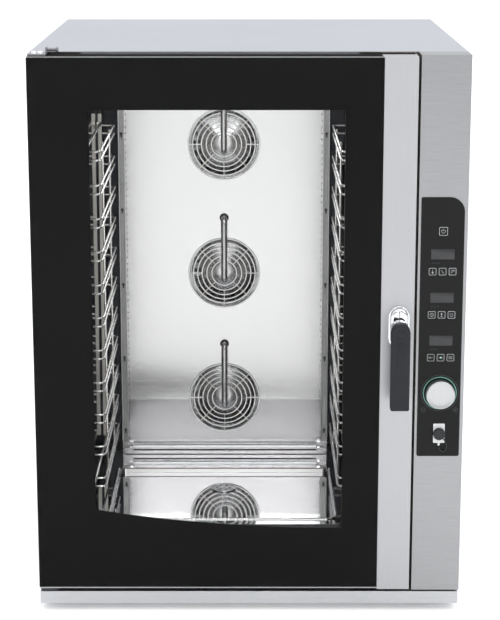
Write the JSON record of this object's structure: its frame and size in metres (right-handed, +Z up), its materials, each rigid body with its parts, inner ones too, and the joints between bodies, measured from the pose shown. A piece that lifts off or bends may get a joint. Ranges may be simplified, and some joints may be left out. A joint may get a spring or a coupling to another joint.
{
  "type": "combi steamer oven",
  "caption": "Floor or bench standing commercial combi steamer oven with glazed side-hinged door, fan-driven polished chamber, wire tray racks and a side control column.",
  "frame": {"origin": "on the floor, under the middle of the whole oven with its handle", "axes": "+Z up, +Y from the door towards the back, +X to the right seen from the front"},
  "size_m": [0.875, 0.883, 1.1733],
  "materials": {
    "brushed_steel": "fine vertical brushing, satin",
    "satin_steel": "bright satin, light reflections",
    "door_steel": "very fine brushing",
    "polished_steel": "mirror polished",
    "chrome": "bright plated",
    "galvanised": "dull grey sheet",
    "knob_steel": "turned face, satin",
    "brass": "machined",
    "rubber": "matte black",
    "silicone": "satin black silicone",
    "black_glass": "black enamelled border round a clear window",
    "clear_glass": "clear tempered",
    "lever_plastic": "fine grain black",
    "panel_plastic": "smooth black",
    "key_plastic": "black with pale outline",
    "display": "dark grey window",
    "ring_light": "pale green light ring",
    "motor_paint": "dark grey paint",
    "heater_steel": "heat-tinted sheath"
  },
  "bodies": {
    "cabinet": {"base_frame": "brushed_steel", "left_side_panel": "brushed_steel", "right_side_panel": "brushed_steel", "top_panel": "brushed_steel", "back_panel": "galvanised", "drain_pipe": "galvanised", "water_inlet": "brass", "cable_gland": "rubber", "top_hinge": "polished_steel", "bottom_hinge": "polished_steel", "latch_keeper": "polished_steel", "cooking_chamber": "polished_steel", "door_gasket": "silicone", "drain_strainer": "polished_steel", "fan_baffle": "satin_steel", "control_column": "brushed_steel", "control_panel": "panel_plastic", "display_board": "display", "light_ring": "ring_light", "probe_socket": "satin_steel", "foot_front_left": "rubber", "foot_front_right": "rubber", "foot_rear_left": "rubber", "foot_rear_right": "rubber", "fan_motor_top": "motor_paint", "heating_element_top": "heater_steel", "water_pipe_top": "polished_steel", "fan_grille_top": "polished_steel", "fan_motor_middle": "motor_paint", "heating_element_middle": "heater_steel", "water_pipe_middle": "polished_steel", "fan_grille_middle": "polished_steel", "fan_motor_bottom": "motor_paint", "heating_element_bottom": "heater_steel", "water_pipe_bottom": "polished_steel", "fan_grille_bottom": "polished_steel"},
    "door": {"door_frame": "door_steel", "door_outer_glass": "black_glass", "door_inner_glass": "clear_glass", "handle_base": "chrome"},
    "handle": {"handle_lever": "lever_plastic", "latch_hook": "polished_steel"},
    "encoder": {"encoder_shaft": "galvanised"},
    "knob": {"control_knob": "knob_steel"},
    "probe_cap": {"probe_cap": "rubber"},
    "left_rack": {"left_rack": "polished_steel"},
    "right_rack": {"right_rack": "polished_steel"},
    "on_off_key": {"on_off_key": "key_plastic"},
    "temperature_key_left": {"temperature_key_left": "key_plastic"},
    "temperature_key_middle": {"temperature_key_middle": "key_plastic"},
    "temperature_key_right": {"temperature_key_right": "key_plastic"},
    "time_key_left": {"time_key_left": "key_plastic"},
    "time_key_middle": {"time_key_middle": "key_plastic"},
    "time_key_right": {"time_key_right": "key_plastic"},
    "steam_key_left": {"steam_key_left": "key_plastic"},
    "steam_key_middle": {"steam_key_middle": "key_plastic"},
    "steam_key_right": {"steam_key_right": "key_plastic"},
    "fan_top": {"fan_wheel_top": "satin_steel"},
    "fan_middle": {"fan_wheel_middle": "satin_steel"},
    "fan_bottom": {"fan_wheel_bottom": "satin_steel"}
  },
  "joints": [
    {"name": "door_hinge", "type": "hinge", "parent": "cabinet", "child": "door", "pos_m": [-0.425, -0.3555, 0.6], "axis": [0, 0, -1], "range_deg": [0, 120]},
    {"name": "handle_turn", "type": "hinge", "parent": "door", "child": "handle", "pos_m": [0.303, -0.4035, 0.613], "axis": [0, 1, 0], "range_deg": [0, 90]},
    {"name": "knob_push", "type": "slide", "parent": "cabinet", "child": "encoder", "axis": [0, 1, 0], "range_m": [0, 0.0015], "stiffness_N_per_m": 900},
    {"name": "knob_turn", "type": "hinge", "parent": "encoder", "child": "knob", "pos_m": [0.3885, -0.3955, 0.4743], "axis": [0, 1, 0], "continuous": true},
    {"name": "probe_cap_pull", "type": "slide", "parent": "cabinet", "child": "probe_cap", "axis": [0, -1, 0], "range_m": [0, 0.013]},
    {"name": "left_rack_lift", "type": "slide", "parent": "cabinet", "child": "left_rack", "axis": [0, 0, 1], "range_m": [0, 0.014]},
    {"name": "right_rack_lift", "type": "slide", "parent": "cabinet", "child": "right_rack", "axis": [0, 0, 1], "range_m": [0, 0.014]},
    {"name": "on_off_key_press", "type": "slide", "parent": "cabinet", "child": "on_off_key", "axis": [0, 1, 0], "range_m": [0, 0.0008], "stiffness_N_per_m": 600},
    {"name": "temperature_key_left_press", "type": "slide", "parent": "cabinet", "child": "temperature_key_left", "axis": [0, 1, 0], "range_m": [0, 0.0008], "stiffness_N_per_m": 600},
    {"name": "temperature_key_middle_press", "type": "slide", "parent": "cabinet", "child": "temperature_key_middle", "axis": [0, 1, 0], "range_m": [0, 0.0008], "stiffness_N_per_m": 600},
    {"name": "temperature_key_right_press", "type": "slide", "parent": "cabinet", "child": "temperature_key_right", "axis": [0, 1, 0], "range_m": [0, 0.0008], "stiffness_N_per_m": 600},
    {"name": "time_key_left_press", "type": "slide", "parent": "cabinet", "child": "time_key_left", "axis": [0, 1, 0], "range_m": [0, 0.0008], "stiffness_N_per_m": 600},
    {"name": "time_key_middle_press", "type": "slide", "parent": "cabinet", "child": "time_key_middle", "axis": [0, 1, 0], "range_m": [0, 0.0008], "stiffness_N_per_m": 600},
    {"name": "time_key_right_press", "type": "slide", "parent": "cabinet", "child": "time_key_right", "axis": [0, 1, 0], "range_m": [0, 0.0008], "stiffness_N_per_m": 600},
    {"name": "steam_key_left_press", "type": "slide", "parent": "cabinet", "child": "steam_key_left", "axis": [0, 1, 0], "range_m": [0, 0.0008], "stiffness_N_per_m": 600},
    {"name": "steam_key_middle_press", "type": "slide", "parent": "cabinet", "child": "steam_key_middle", "axis": [0, 1, 0], "range_m": [0, 0.0008], "stiffness_N_per_m": 600},
    {"name": "steam_key_right_press", "type": "slide", "parent": "cabinet", "child": "steam_key_right", "axis": [0, 1, 0], "range_m": [0, 0.0008], "stiffness_N_per_m": 600},
    {"name": "fan_top_spin", "type": "hinge", "parent": "cabinet", "child": "fan_top", "pos_m": [-0.0575, 0.1865, 0.904], "axis": [0, 1, 0], "continuous": true},
    {"name": "fan_middle_spin", "type": "hinge", "parent": "cabinet", "child": "fan_middle", "pos_m": [-0.0575, 0.1865, 0.603], "axis": [0, 1, 0], "continuous": true},
    {"name": "fan_bottom_spin", "type": "hinge", "parent": "cabinet", "child": "fan_bottom", "pos_m": [-0.0575, 0.1865, 0.303], "axis": [0, 1, 0], "continuous": true}
  ]
}
